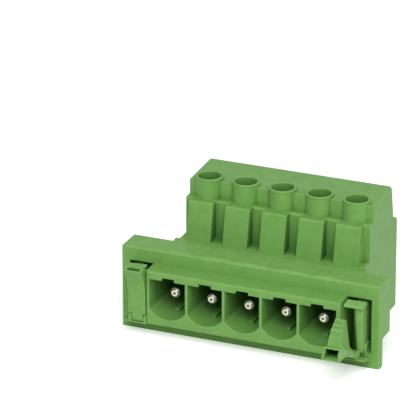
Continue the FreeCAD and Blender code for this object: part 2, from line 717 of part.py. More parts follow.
def latch_lever(side, word, angle):
    """Hollow lever with a toothed wedge, drawn closed about its own axis."""
    body = new_body("latch_lever_" + word)
    inner = dim.latch_side_gap
    outer = dim.latch_side_gap + dim.lever_width
    bare = dim.ear_width + dim.latch_side_gap
    low, high = across(side, bare, outer - dim.ear_width - dim.latch_side_gap)
    disc(body, "knuckle_" + word, "YZ", low, high, 0, 0, dim.knuckle_radius)
    ear_free = dim.knuckle_radius + dim.latch_side_gap
    slab(body, "heel_" + word, "YZ", low, high,
         [(-dim.knuckle_radius, 0), (dim.knuckle_radius, 0), (dim.knuckle_radius * 0.6, ear_free * 1.5),
          (-dim.knuckle_radius, ear_free * 1.5)])
    low, high = across(side, inner, outer)
    disc(body, "stub_shaft_" + word, "YZ", low, high, 0, 0, dim.trunnion_radius)
    outer_face = -dim.knuckle_radius
    inner_face = outer_face + dim.lever_skin
    rise = dim.lever_length - dim.lever_straight
    sweep_radius = arc_radius(rise, dim.lever_flare)
    tip_turn = math.asin(rise.number / sweep_radius.number)
    tip_out = dim.lever_skin * math.cos(tip_turn)
    tip_up = dim.lever_skin * math.sin(tip_turn)
    slab(body, "plate_" + word, "YZ", low, high,
         [(outer_face, ear_free), (inner_face, ear_free), (inner_face, dim.lever_straight),
          (outer_face - dim.lever_flare + tip_out, dim.lever_length + tip_up, sweep_radius + dim.lever_skin),
          (outer_face - dim.lever_flare, dim.lever_length),
          (outer_face, dim.lever_straight, -sweep_radius)])
    wall_back = inner_face
    wall_front = inner_face - dim.lever_back_wall
    slab(body, "inner_wall_" + word, "YZ", low, high,
         [(wall_front, dim.lever_straight - dim.lever_skin),
          (wall_back, dim.lever_straight - dim.lever_skin),
          (wall_back, wedge_radius), (wall_back - dim.wedge_tooth, wedge_shoulder),
          (wall_front, wedge_shoulder)])
    cheeks = (("outer", outer - dim.lever_cheek, outer), ("inner", inner, inner + dim.lever_inner_cheek))
    for tag, near_side, far_side in cheeks:
        cheek_low, cheek_high = across(side, near_side, far_side)
        slab(body, "%s_cheek_%s" % (tag, word), "YZ", cheek_low, cheek_high,
             [(outer_face, dim.lever_straight, -(sweep_radius + dim.lever_skin / 2)),
              (wall_front + dim.lever_back_wall / 2, dim.lever_straight),
              (wall_front + dim.lever_back_wall / 2, wedge_shoulder),
              (outer_face - dim.lever_flare + tip_out, dim.lever_length + tip_up / 2)])
    low, high = across(side, inner, inner + dim.wedge_flare_width)
    wedge_outline = [(wall_front, dim.lever_straight - dim.lever_skin),
                     (wall_back, dim.wedge_root_low - dim.lever_skin),
                     (wall_back + dim.lever_skin, dim.wedge_root_low), (dim.wedge_reach, dim.wedge_tip_low)]
    slab(body, "wedge_" + word, "YZ", low, high, wedge_outline + toothed_edge(wall_back))
    trench(body, "wedge_taper_" + word, "XY", dim.lever_straight * 0.4, wedge_radius + dim.wedge_tooth,
           [((inner + dim.wedge_flare_width) * side, wall_back + dim.latch_side_gap),
            ((inner + wedge_root_width) * side,
             wall_back + dim.latch_side_gap + dim.wedge_flare_length),
            ((inner + wedge_tip_width) * side, dim.wedge_reach + dim.latch_side_gap),
            ((outer + dim.latch_side_gap) * side, dim.wedge_reach + dim.latch_side_gap),
            ((outer + dim.latch_side_gap) * side, wall_back + dim.latch_side_gap)])
    place(body, header_half_width * side, -dim.hinge_front, -dim.hinge_drop, Vector(1, 0, 0), angle)
    return body


def toothed_edge(wall_back):
    """Saw teeth on an arc about the lever axis, from the wedge tip to the lever's wall."""
    root = wedge_radius - dim.wedge_tooth
    tip_turn = math.asin(dim.wedge_reach.number / wedge_radius.number)
    wall_turn = math.asin((wall_back.number + dim.lever_skin.number) / wedge_radius.number)
    step = (tip_turn - wall_turn) / wedge_teeth
    corners = []
    for tooth in range(wedge_teeth):
        crest = tip_turn - tooth * step
        foot = crest - step * 0.85
        corners.append((wedge_radius * math.sin(crest), wedge_radius * math.cos(crest)))
        corners.append((root * math.sin(foot), root * math.cos(foot)))
    corners.append((wall_back, root))
    corners.append((wall_back - dim.lever_back_wall, root))
    return corners


def latch_arm(side, word, angle):
    """Spring arm with a hook on top, about the axis of its round foot."""
    body = new_body("latch_arm_" + word)
    disc(body, "foot_" + word, "XZ", -dim.arm_foot_front, dim.arm_foot_back, 0, 0, dim.arm_barrel_radius)
    outer = arm_outer - arm_axis_out
    inner_top = arm_inner_top - arm_axis_out
    inner_base = arm_inner_base - arm_axis_out
    base = dim.arm_axis_drop - dim.arm_base_drop
    under_hook = dim.hook_bottom + dim.arm_axis_drop
    half_waist = dim.arm_waist / 2
    slab(body, "waist_" + word, "XZ", -dim.arm_foot_front, dim.arm_back,
         side_corners(side, [(-half_waist, 0), (half_waist, 0), (half_waist, base + dim.arm_waist),
                             (-half_waist, base + dim.arm_waist)]))
    column_top = under_hook + dim.latch_side_gap
    slab(body, "column_" + word, "XZ", -dim.arm_front, dim.arm_back,
         side_corners(side, [(inner_base, base), (outer, base), (outer, column_top),
                             (inner_top, column_top)]))
    hook_back_height = dim.hook_back_top + dim.arm_axis_drop
    hook_front_height = dim.hook_front_top + dim.arm_axis_drop
    low, high = across(side, hook_inner - arm_axis_out, hook_outer - arm_axis_out)
    slab(body, "hook_" + word, "YZ", low, high,
         [(-dim.hook_front, under_hook), (-dim.hook_back, under_hook), (-dim.hook_back, hook_back_height),
          (-dim.hook_front, hook_front_height)])
    front = -dim.arm_front.number
    fillet(body, "column_rounding_" + word, dim.arm_corner,
           lambda m: same(m.y, front) and m.x * side < inner_base.number - 0.01)
    place(body, arm_axis_out * side, 0, -dim.arm_axis_drop, Vector(0, 1, 0), angle)
    return body


def side_corners(side, corners):
    """Corners drawn for the right side, mirrored for the left one."""
    return [(as_size(x) * side, z) for x, z in corners]


front_housing()
rear_housing()
for pole in poles:
    contact_pin(pole)
    clamp_cage(pole)
    clamp_screw(pole)
latch_lever(1, "right", lever_open_angle)
latch_lever(-1, "left", 0.0)
latch_arm(1, "right", 0.0)
latch_arm(-1, "left", -arm_spread_angle)

doc.recompute()
for item in doc.Objects:
    if "Invalid" in item.State or "Error" in item.State:
        raise ValueError("%s is in state %s" % (item.Label, item.State))
os.makedirs("parts", exist_ok=True)
for piece in pieces:
    if piece.Shape.isNull() or not piece.Shape.isValid():
        raise ValueError(piece.Label + " has no valid shape")
    if len(piece.Shape.Solids) != 1:
        raise ValueError("%s has %d solids" % (piece.Label, len(piece.Shape.Solids)))
    piece.Shape.exportStep("parts/%s.step" % piece.Label)
print("wrote %d pieces" % len(pieces))
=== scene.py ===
import math

import bmesh
import bpy
from mathutils import Matrix, Vector


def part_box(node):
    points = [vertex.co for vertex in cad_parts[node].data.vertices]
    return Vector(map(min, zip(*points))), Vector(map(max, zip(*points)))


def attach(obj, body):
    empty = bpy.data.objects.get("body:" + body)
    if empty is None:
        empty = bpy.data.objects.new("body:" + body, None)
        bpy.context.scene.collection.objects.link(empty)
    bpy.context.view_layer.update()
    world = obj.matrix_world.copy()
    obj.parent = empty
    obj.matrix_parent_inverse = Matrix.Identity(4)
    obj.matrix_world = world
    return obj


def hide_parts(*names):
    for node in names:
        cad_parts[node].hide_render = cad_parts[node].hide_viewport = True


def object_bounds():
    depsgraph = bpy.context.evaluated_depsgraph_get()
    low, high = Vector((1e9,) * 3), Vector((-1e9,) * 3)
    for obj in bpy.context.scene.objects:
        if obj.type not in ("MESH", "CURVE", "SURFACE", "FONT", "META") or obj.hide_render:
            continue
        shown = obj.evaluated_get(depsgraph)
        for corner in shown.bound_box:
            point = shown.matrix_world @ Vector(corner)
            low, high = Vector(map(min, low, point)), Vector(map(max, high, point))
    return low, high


# A pluggable feed-through terminal block with five poles.
# The pin header for the plug faces -Y, and the screw towers and wire entries are behind its flange.
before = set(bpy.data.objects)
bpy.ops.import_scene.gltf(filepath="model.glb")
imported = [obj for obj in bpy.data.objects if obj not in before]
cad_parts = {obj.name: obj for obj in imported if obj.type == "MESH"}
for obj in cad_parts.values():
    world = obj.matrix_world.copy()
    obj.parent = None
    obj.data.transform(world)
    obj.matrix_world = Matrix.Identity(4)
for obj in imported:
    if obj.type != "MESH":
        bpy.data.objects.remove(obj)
cad_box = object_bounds()


# The front housing carries the pin header, the latch pockets and the mounting flange, which has
# a low plate beside each pole on top. It is injection moulded in one piece of green polyamide 66.
# The mould is lightly spark-eroded, so the plastic is satin, with a faint flow mottling.
MM = 0.001
HOUSING_DEEP = "#68994a"
HOUSING_PALE = "#71a152"
# A paler green, painted on outward edges as a highlight.
HOUSING_EDGE_HIGHLIGHT = "#93c47a"
# A darker green, painted into deep recesses as shade.
HOUSING_PAINTED_SHADE = "#38692d"
HOUSING_ROUGHNESS = 0.46


def linear_colour(code):
    """A colour for a shader socket, from sRGB hex."""
    parts = [int(code[i:i + 2], 16) / 255 for i in (1, 3, 5)]
    return [p / 12.92 if p <= 0.04045 else ((p + 0.055) / 1.055) ** 2.4 for p in parts] + [1.0]


def add_node(tree, kind, settings=None, links=None):
    """One node: its settings by name or input number, and (node, output) for inputs linked."""
    made = tree.nodes.new(kind)
    for name, value in (settings or {}).items():
        if isinstance(name, int) or name in made.inputs:
            made.inputs[name].default_value = value
        else:
            setattr(made, name, value)
    for name, (source, output) in (links or {}).items():
        tree.links.new(source.outputs[output], made.inputs[name])
    return made


def blank_material(name):
    """A material that has no nodes yet, and its tree."""
    material = bpy.data.materials.new(name)
    material.use_nodes = True
    material.node_tree.nodes.clear()
    return material, material.node_tree


def moulded_polyamide(name, deep, pale, roughness):
    """Mottled, grained satin plastic, with painted edge highlights and painted shade in recesses.
    """
    material, tree = blank_material(name)
    place = add_node(tree, "ShaderNodeTexCoord")
    # The melt cools as it fills the mould, which leaves a mottling a few millimetres wide.
    flow_width = 2.4 * MM
    mottle_low, mottle_high = 0.32, 0.68
    flow = add_node(tree, "ShaderNodeTexNoise",
                    {"Scale": 1 / flow_width, "Detail": 3.0, "Roughness": 0.6},
                    {"Vector": (place, "Object")})
    tint = add_node(tree, "ShaderNodeValToRGB", {}, {"Fac": (flow, "Fac")})
    tint.color_ramp.elements[0].position = mottle_low
    tint.color_ramp.elements[0].color = linear_colour(deep)
    tint.color_ramp.elements[1].position = mottle_high
    tint.color_ramp.elements[1].color = linear_colour(pale)
    # The grain of the mould is about 0.05 mm wide; 0.22 mm is the finest that still shows.
    grain_width = 0.22 * MM
    grain_depth = 0.012 * MM
    grain_low, grain_high = 0.3, 0.7
    grain = add_node(tree, "ShaderNodeTexNoise",
                     {"Scale": 1 / grain_width, "Detail": 2.0, "Roughness": 0.5},
                     {"Vector": (place, "Object")})
    # Edges leave the mould with a small radius. Near convex edges the colour is painted a shade
    # paler, as a painted highlight where the rounded edge catches the light.
    # The cosine between rounded and flat surface says how near the edge is.
    edge_radius = 0.16 * MM
    edge_cosine, highlight_share = 0.86, 0.8
    soft = add_node(tree, "ShaderNodeBevel", {"samples": 6, "Radius": edge_radius})
    flat = add_node(tree, "ShaderNodeNewGeometry")
    same_way = add_node(tree, "ShaderNodeVectorMath", {"operation": "DOT_PRODUCT"},
                        {0: (soft, "Normal"), 1: (flat, "Normal")})
    edge_highlight_mask = add_node(tree, "ShaderNodeMapRange",
                      {"From Min": 1.0, "From Max": edge_cosine, "To Max": highlight_share},
                      {"Value": (same_way, "Value")})
    # The painted highlight goes only on corners that stick out.
    # In a crease the walls stand close to each other.
    crease_reach = 0.3 * MM
    crease_open, corner_open = 0.72, 0.94
    openness = add_node(tree, "ShaderNodeAmbientOcclusion",
                        {"samples": 6, "only_local": True, "Distance": crease_reach})
    outward = add_node(tree, "ShaderNodeMapRange",
                       {"From Min": crease_open, "From Max": corner_open},
                       {"Value": (openness, "AO")})
    painted_highlight = add_node(tree, "ShaderNodeMath", {"operation": "MULTIPLY"},
                    {0: (edge_highlight_mask, "Result"), 1: (outward, "Result")})
    # Painted highlight: the edge colour is mixed in near outward corners.
    highlighted = add_node(tree, "ShaderNodeMix", {"data_type": "RGBA", 7: linear_colour(HOUSING_EDGE_HIGHLIGHT)},
                       {0: (painted_highlight, 0), 6: (tint, "Color")})
    # Deep slots and chambers are painted darker, as painted shade for the little light that reaches
    # into them. How open a place is runs from 1 on a free face to 0 far inside.
    recess_reach = 8.0 * MM
    mouth_open, bottom_open, shade_share = 0.5, 0.12, 0.95
    enclosed = add_node(tree, "ShaderNodeAmbientOcclusion",
                        {"samples": 8, "only_local": True, "Distance": recess_reach})
    painted_shade_mask = add_node(tree, "ShaderNodeMapRange",
                      {"From Min": mouth_open, "From Max": bottom_open, "To Max": shade_share},
                      {"Value": (enclosed, "AO")})
    colour = add_node(tree, "ShaderNodeMix",
                      {"data_type": "RGBA", 7: linear_colour(HOUSING_PAINTED_SHADE)},
                      {0: (painted_shade_mask, "Result"), 6: (highlighted, 2)})
    # The grain breaks up the gloss a little.
    smoother, rougher = 0.05, 0.06
    sheen = add_node(tree, "ShaderNodeMapRange",
                     {"From Min": grain_low, "From Max": grain_high,
                      "To Min": roughness - smoother, "To Max": roughness + rougher},
                     {"Value": (grain, "Fac")})
    relief = add_node(tree, "ShaderNodeBump", {"Strength": 0.12, "Distance": grain_depth},
                      {"Height": (grain, "Fac"), "Normal": (soft, "Normal")})
    shader = add_node(tree, "ShaderNodeBsdfPrincipled", {"IOR": 1.53, "Specular IOR Level": 0.22},
                      {"Base Color": (colour, 2), "Roughness": (sheen, "Result"),
                       "Normal": (relief, "Normal")})
    add_node(tree, "ShaderNodeOutputMaterial", {}, {"Surface": (shader, "BSDF")})
    return material


def dress(node, material):
    """Give a solid of the block its finish."""
    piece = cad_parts[node]
    piece.data.materials.clear()
    piece.data.materials.append(material)


housing_polyamide = moulded_polyamide("polyamide_66_green_satin", HOUSING_DEEP, HOUSING_PALE,
                                      HOUSING_ROUGHNESS)
dress("front_housing", housing_polyamide)
POLES = range(1, 6)
POLE_PITCH = 7.62 * MM


def row_tree(material):
    """One form repeated along the row of poles."""
    tree = bpy.data.node_groups.new("pole_row", "GeometryNodeTree")
    tree.interface.new_socket("Geometry", in_out="INPUT", socket_type="NodeSocketGeometry")
    sockets = {}
    for name, kind in (("Poles", "NodeSocketInt"), ("Pitch", "NodeSocketFloat"),
                       ("First", "NodeSocketFloat")):
        made = tree.interface.new_socket(name, in_out="INPUT", socket_type=kind)
        sockets[name] = made.identifier
    tree.interface.new_socket("Geometry", in_out="OUTPUT", socket_type="NodeSocketGeometry")
    given = add_node(tree, "NodeGroupInput")
    step = add_node(tree, "ShaderNodeCombineXYZ", {}, {"X": (given, "Pitch")})
    start = add_node(tree, "ShaderNodeCombineXYZ", {}, {"X": (given, "First")})
    line = add_node(tree, "GeometryNodeMeshLine", {"mode": "OFFSET"},
                    {"Count": (given, "Poles"), "Start Location": (start, 0), "Offset": (step, 0)})
    row = add_node(tree, "GeometryNodeInstanceOnPoints", {},
                   {"Points": (line, "Mesh"), "Instance": (given, "Geometry")})
    real = add_node(tree, "GeometryNodeRealizeInstances", {}, {"Geometry": (row, "Instances")})
    dressed = add_node(tree, "GeometryNodeSetMaterial", {"Material": material},
                       {"Geometry": (real, "Geometry")})
    add_node(tree, "NodeGroupOutput", {}, {"Geometry": (dressed, "Geometry")})
    return tree, sockets


def new_object(name, data):
    """An object at the origin of the scene."""
    made = bpy.data.objects.new(name, data)
    bpy.context.scene.collection.objects.link(made)
    return made


def finished_mesh(holder):
    """A plain mesh of what an object's modifiers make."""
    bpy.context.view_layer.update()
    seen = holder.evaluated_get(bpy.context.evaluated_depsgraph_get())
    return bpy.data.meshes.new_from_object(seen)


def join_rings(form, ring, next_ring):
    """Faces between two rings with the same number of corners."""
    faces = []
    for corner in range(len(ring)):
        after = (corner + 1) % len(ring)
        faces.append(form.faces.new((ring[corner], ring[after], next_ring[after],
                                     next_ring[corner])))
    return faces


pole_row, row_sockets = row_tree(housing_polyamide)


def repeat_on_poles(name, form):
    """A moulded detail of the housings, with the given form at each pole."""
    form.normal_update()
    mesh = bpy.data.meshes.new(name)
    form.to_mesh(mesh)
    form.free()
    holder = new_object(name + "_form", mesh)
    builder = holder.modifiers.new("row", "NODES")
    builder.node_group = pole_row
    builder[row_sockets["Poles"]] = len(POLES)
    builder[row_sockets["Pitch"]] = POLE_PITCH
    builder[row_sockets["First"]] = -POLE_PITCH * (len(POLES) - 1) / 2
    made = finished_mesh(holder)
    bpy.data.objects.remove(holder)
    piece = new_object(name, made)
    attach(piece, "block")


# Flange plates: their sides slope in to a flat top. Spans are from the pole's axis along the row
# and behind the flange's front, and each level is the inset of a ring and its height.
FLANGE_TOP = 8.14 * MM
PLATE_SPAN = (-1.5 * MM, 3.0 * MM)
PLATE_REACH = (0.36 * MM, 5.66 * MM)
PLATE_LEVELS = ((0.0, -0.06 * MM), (0.0, 0.05 * MM), (0.1 * MM, 0.13 * MM))
plate = bmesh.new()
rings = []
for inset, level in PLATE_LEVELS:
    low_x, high_x = PLATE_SPAN[0] + inset, PLATE_SPAN[1] - inset
    low_y, high_y = PLATE_REACH[0] + inset, PLATE_REACH[1] - inset
    corners = ((low_x, low_y), (high_x, low_y), (high_x, high_y), (low_x, high_y))
    rings.append([plate.verts.new((x, y, FLANGE_TOP + level)) for x, y in corners])
for lower, upper in zip(rings, rings[1:]):
    join_rings(plate, lower, upper)
plate.faces.new(reversed(rings[0]))
plate.faces.new(rings[-1])
bmesh.ops.recalc_face_normals(plate, faces=plate.faces)
repeat_on_poles("flange_plates", plate)


# The contact pins are turned from copper alloy wire and pressed into the front housing. They are
# tin plated, matt silver, with the bare yellow-grey metal of the cut showing on the end face.
TIN_BRIGHT = "#fbf9f2"
TIN_CLOUDED = "#ece8dc"
# Dark tin, painted on the shank as shade.
TIN_PAINTED_SHADE = "#85817a"
BARE_METAL = "#7f6f4c"
PIN_TIP_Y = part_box("contact_pin_3")[0].y


def tinned_copper(name):
    """Tin plating with turning lines and clouding, painted shade behind the tip, on a bare cut end.
    """
    material, tree = blank_material(name)
    place = add_node(tree, "ShaderNodeTexCoord")
    split = add_node(tree, "ShaderNodeSeparateXYZ", {}, {"Vector": (place, "Object")})
    # Turning lines run round the pin. Real ones are about 0.1 mm apart, too fine to show, so
    # they are drawn 0.754 mm apart. The wave node turns 20 radians in each unit of its scale.
    line_spacing = 0.754 * MM
    wave_scale = math.tau / (20 * line_spacing)
    lines = add_node(tree, "ShaderNodeTexWave",
                     {"wave_type": "BANDS", "bands_direction": "Y", "Scale": wave_scale,
                      "Distortion": 1.5, "Detail": 2.0}, {"Vector": (place, "Object")})
    cloud_width = 0.5 * MM
    cloud = add_node(tree, "ShaderNodeTexNoise", {"Scale": 1 / cloud_width, "Detail": 3.0},
                     {"Vector": (place, "Object")})
    plated = add_node(tree, "ShaderNodeMix",
                      {"data_type": "RGBA", 6: linear_colour(TIN_BRIGHT),
                       7: linear_colour(TIN_CLOUDED)}, {0: (cloud, "Fac")})
    # Behind the first millimetre of the pin the tin is painted dull and dark: painted shade for the
    # shank deep in its chamber.
    shade_from, shade_full = PIN_TIP_Y + 0.35 * MM, PIN_TIP_Y + 1.1 * MM
    shank_shade_mask = add_node(tree, "ShaderNodeMapRange", {"From Min": shade_from, "From Max": shade_full},
                    {"Value": (split, "Y")})
    tin = add_node(tree, "ShaderNodeMix", {"data_type": "RGBA", 7: linear_colour(TIN_PAINTED_SHADE)},
                   {0: (shank_shade_mask, "Result"), 6: (plated, 2)})
    # The cut end is bare in the middle, within about 0.35 mm of each pin's axis.
    bare_radius, plated_radius = 0.28 * MM, 0.44 * MM
    end_face_depth = 0.05 * MM
    beside = add_node(tree, "ShaderNodeMath",
                      {"operation": "WRAP", 1: POLE_PITCH / 2, 2: -POLE_PITCH / 2},
                      {0: (split, "X")})
    radial = add_node(tree, "ShaderNodeCombineXYZ", {}, {"X": (beside, 0), "Z": (split, "Z")})
    from_axis = add_node(tree, "ShaderNodeVectorMath", {"operation": "LENGTH"}, {0: (radial, 0)})
    middle = add_node(tree, "ShaderNodeMapRange",
                      {"From Min": bare_radius, "From Max": plated_radius,
                       "To Min": 1.0, "To Max": 0.0}, {"Value": (from_axis, "Value")})
    at_tip = add_node(tree, "ShaderNodeMath",
                      {"operation": "LESS_THAN", 1: PIN_TIP_Y + end_face_depth},
                      {0: (split, "Y")})
    end_face = add_node(tree, "ShaderNodeMath", {"operation": "MULTIPLY"},
                        {0: (middle, "Result"), 1: (at_tip, 0)})
    colour = add_node(tree, "ShaderNodeMix", {"data_type": "RGBA", 7: linear_colour(BARE_METAL)},
                      {0: (end_face, 0), 6: (tin, 2)})
    line_depth = 0.01 * MM
    relief = add_node(tree, "ShaderNodeBump", {"Strength": 0.15, "Distance": line_depth},
                      {"Height": (lines, "Fac")})
    shader = add_node(tree, "ShaderNodeBsdfPrincipled", {"Metallic": 0.85, "Roughness": 0.34},
                      {"Normal": (relief, "Normal"), "Base Color": (colour, 2)})
    add_node(tree, "ShaderNodeOutputMaterial", {}, {"Surface": (shader, "BSDF")})
    return material


pin_metal = tinned_copper("copper_alloy_tin_plated")
for pole in POLES:
    dress("contact_pin_%d" % pole, pin_metal)


# The rear housing holds the clamps and is clipped onto the back of the front housing.
# It is moulded in the same green polyamide. A rounded lip closes each tower, a raised rim runs
# round each wire entry, and a small pip on the top, near the rear edge, marks each pole.
dress("rear_housing", housing_polyamide)

# Lips of the screw towers: a bead, a little wider than the wall that it closes. Its section is
# given in mm, as distances from the screw's axis and heights above the pins.
TOWER_AXIS_Y = 16.9 * MM
LIP_SECTION = ((2.70, 17.50), (2.77, 17.55), (2.79, 17.70), (2.76, 17.84), (2.67, 17.93),
               (2.50, 17.97), (2.35, 17.93), (2.25, 17.85), (2.20, 17.72), (2.21, 17.58),
               (2.26, 17.50))
LIP_STEPS = 56
lip = bmesh.new()
hoops = []
for radius, height in LIP_SECTION:
    hoop = []
    for step in range(LIP_STEPS):
        turn = math.tau * step / LIP_STEPS
        hoop.append(lip.verts.new((radius * MM * math.cos(turn),
                                   TOWER_AXIS_Y + radius * MM * math.sin(turn), height * MM)))
    hoops.append(hoop)
for outer, inner in zip(hoops, hoops[1:] + hoops[:1]):
    for face in join_rings(lip, outer, inner):
        face.smooth = True
bmesh.ops.recalc_face_normals(lip, faces=lip.faces)
repeat_on_poles("tower_lips", lip)

# Rims of the wire entries: a sloping outer side, a narrow land and a sloping inner side. The
# section is given in mm, as half widths, half heights and how far each ring stands out.
REAR_FACE = 29.7 * MM
ENTRY_MIDDLE = -3.0 * MM
RIM_SECTION = ((3.45, 3.35, -0.1), (3.25, 3.15, 0.22), (3.05, 2.95, 0.22), (2.93, 2.83, -0.1))
rim = bmesh.new()
loops = []
for half_width, half_height, proud in RIM_SECTION:
    loops.append([rim.verts.new((x * half_width * MM, REAR_FACE + proud * MM,
                                 ENTRY_MIDDLE + z * half_height * MM))
                  for x, z in ((-1, -1), (1, -1), (1, 1), (-1, 1))])
for outer, inner in zip(loops, loops[1:] + loops[:1]):
    join_rings(rim, outer, inner)
bmesh.ops.recalc_face_normals(rim, faces=rim.faces)
repeat_on_poles("wire_entry_rims", rim)

# Pole marks: a low round-cornered pip on the sloping top, 2.4 mm ahead of its rear edge.
# The top falls 0.4 mm towards the towers, over a length of 10.1 mm.
PIP_SPOT = Vector((-0.4, 23.8, 17.46)) * MM
PIP_SIZE = Vector((0.55, 1.1, 0.3)) * MM
PIP_CORNER = 0.15 * MM
TOP_SLOPE = math.atan2(0.4, 10.1)
pip = bmesh.new()
bmesh.ops.create_cube(pip, size=1.0)
bmesh.ops.scale(pip, vec=PIP_SIZE, verts=pip.verts)
upright = [edge for edge in pip.edges
           if abs(edge.verts[0].co.z - edge.verts[1].co.z) > PIP_SIZE.z / 2]
bmesh.ops.bevel(pip, geom=upright, offset=PIP_CORNER, segments=3, profile=0.5, affect="EDGES")
bmesh.ops.rotate(pip, cent=(0, 0, 0), matrix=Matrix.Rotation(TOP_SLOPE, 3, "X"), verts=pip.verts)
bmesh.ops.translate(pip, vec=PIP_SPOT, verts=pip.verts)
repeat_on_poles("pole_marks", pip)


# The cages are folded from steel strip round the tails of the pins, and each one hangs on the
# thread of its screw. The screws are turned and slotted, and stand in the bores of the towers.
# Both are zinc plated after they are shaped, which gives them a faint spangle.
def zinc_plated(name, pale, dark, roughness):
    """Bright zinc over steel, with a spangle about 1 mm wide."""
    material, tree = blank_material(name)
    spangle_width = 1.0 * MM
    place = add_node(tree, "ShaderNodeTexCoord")
    spangle = add_node(tree, "ShaderNodeTexVoronoi", {"Scale": 1 / spangle_width},
                       {"Vector": (place, "Object")})
    tint = add_node(tree, "ShaderNodeValToRGB", {}, {"Fac": (spangle, "Distance")})
    tint.color_ramp.elements[0].color = linear_colour(dark)
    tint.color_ramp.elements[1].color = linear_colour(pale)
    shader = add_node(tree, "ShaderNodeBsdfPrincipled", {"Metallic": 1.0, "Roughness": roughness},
                      {"Base Color": (tint, "Color")})
    add_node(tree, "ShaderNodeOutputMaterial", {}, {"Surface": (shader, "BSDF")})
    return material


cage_steel = zinc_plated("steel_strip_zinc_plated", pale="#c4c6c6", dark="#a3a6a8", roughness=0.38)
screw_steel = zinc_plated("turned_steel_zinc_plated", pale="#cfd0ce", dark="#b2b4b4", roughness=0.3)
for pole in POLES:
    dress("clamp_cage_%d" % pole, cage_steel)
    dress("clamp_screw_%d" % pole, screw_steel)


# The latch levers turn on stub shafts in the ears below the header's ends. They are moulded in
# the same polyamide, a little more polished: a thin curved thumb plate over a hollow, and a wedge
# with fine ridges across it. The left one is closed and the right one open.
LATCH_ROUGHNESS = 0.4
latch_polyamide = moulded_polyamide("polyamide_66_green_smooth", HOUSING_DEEP, HOUSING_PALE,
                                    LATCH_ROUGHNESS)
SIDES = ("left", "right")
LEVER_SENSE = {"left": -1, "right": 1}
LEVER_OPEN = {"left": 0.0, "right": math.radians(60)}
# Sizes of the closed right lever. Its thumb plate bends round an arc, and all but LEVER_NEAR and
# LEVER_FAR, which are its two flanks along the row, are measured from the hinge.
HINGE = Vector((0, -3.05 * MM, -5.0 * MM))
LEVER_NEAR = 19.95 * MM
LEVER_FAR = 23.5 * MM
THUMB_FACE = -0.8 * MM
THUMB_BEND_HEIGHT = 4.2 * MM
THUMB_BEND_RADIUS = 11.15 * MM
THUMB_WALL = 0.9 * MM
LEVER_ROUNDING = 0.1 * MM


def swing(point, side):
    """A point of the closed lever, given from its hinge, where the lever stands at rest."""
    turned = Matrix.Rotation(LEVER_OPEN[side], 3, "X") @ Vector(point)
    return turned + HINGE


def hollow_plate(piece, side):
    """Cut the hollow behind the thumb plate down to a thin skin, open at the lever's tip."""
    skin = 0.27 * MM
    cheek = 0.42 * MM
    overcut = 0.05 * MM
    low_turn, high_turn, steps = math.radians(9), math.radians(46), 12
    outline = []
    for radius, turns in ((THUMB_BEND_RADIUS + skin, range(steps + 1)),
                          (THUMB_BEND_RADIUS + THUMB_WALL + overcut, range(steps, -1, -1))):
        for step in turns:
            turn = low_turn + (high_turn - low_turn) * step / steps
            outline.append((THUMB_FACE - THUMB_BEND_RADIUS + radius * math.cos(turn),
                            THUMB_BEND_HEIGHT + radius * math.sin(turn)))
    cutter = bmesh.new()
    ends = []
    for across in (LEVER_NEAR + cheek, LEVER_FAR - cheek):
        ends.append([cutter.verts.new(swing((across * LEVER_SENSE[side], y, z), side))
                     for y, z in outline])
    cutter.faces.new(ends[0])
    cutter.faces.new(reversed(ends[1]))
    join_rings(cutter, ends[1], ends[0])
    bmesh.ops.recalc_face_normals(cutter, faces=cutter.faces)
    mesh = bpy.data.meshes.new("plate_hollow_" + side)
    cutter.to_mesh(mesh)
    cutter.free()
    tool = new_object("plate_hollow_" + side, mesh)
    cut = piece.modifiers.new("hollow", "BOOLEAN")
    cut.operation = "DIFFERENCE"
    cut.solver = "EXACT"
    cut.object = tool
    shape = finished_mesh(piece)
    piece.modifiers.remove(cut)
    piece.data = shape
    bpy.data.objects.remove(tool)


def merged_copy(node, material):
    """A copy of a solid with its loose triangles joined into whole faces."""
    same_point = 0.002 * MM
    same_face = math.radians(1.0)
    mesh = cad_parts[node].data.copy()
    mesh.name = node + "_moulded"
    mesh.materials.clear()
    mesh.materials.append(material)
    shape = bmesh.new()
    shape.from_mesh(mesh)
    bmesh.ops.remove_doubles(shape, verts=shape.verts, dist=same_point)
    bmesh.ops.dissolve_limit(shape, angle_limit=same_face, verts=shape.verts, edges=shape.edges)
    shape.to_mesh(mesh)
    shape.free()
    return new_object(node + "_moulded", mesh)


def round_edges(piece, radius):
    """Round the sharp edges as the mould does, and leave the facets of curved faces alone."""
    rounding = piece.modifiers.new("rounding", "BEVEL")
    rounding.width = radius
    rounding.segments = 3
    rounding.limit_method = "ANGLE"
    rounding.angle_limit = math.radians(40)


for side in SIDES:
    lever = merged_copy("latch_lever_" + side, latch_polyamide)
    hollow_plate(lever, side)
    round_edges(lever, LEVER_ROUNDING)
    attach(lever, "lever_" + side)
    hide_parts("latch_lever_" + side)


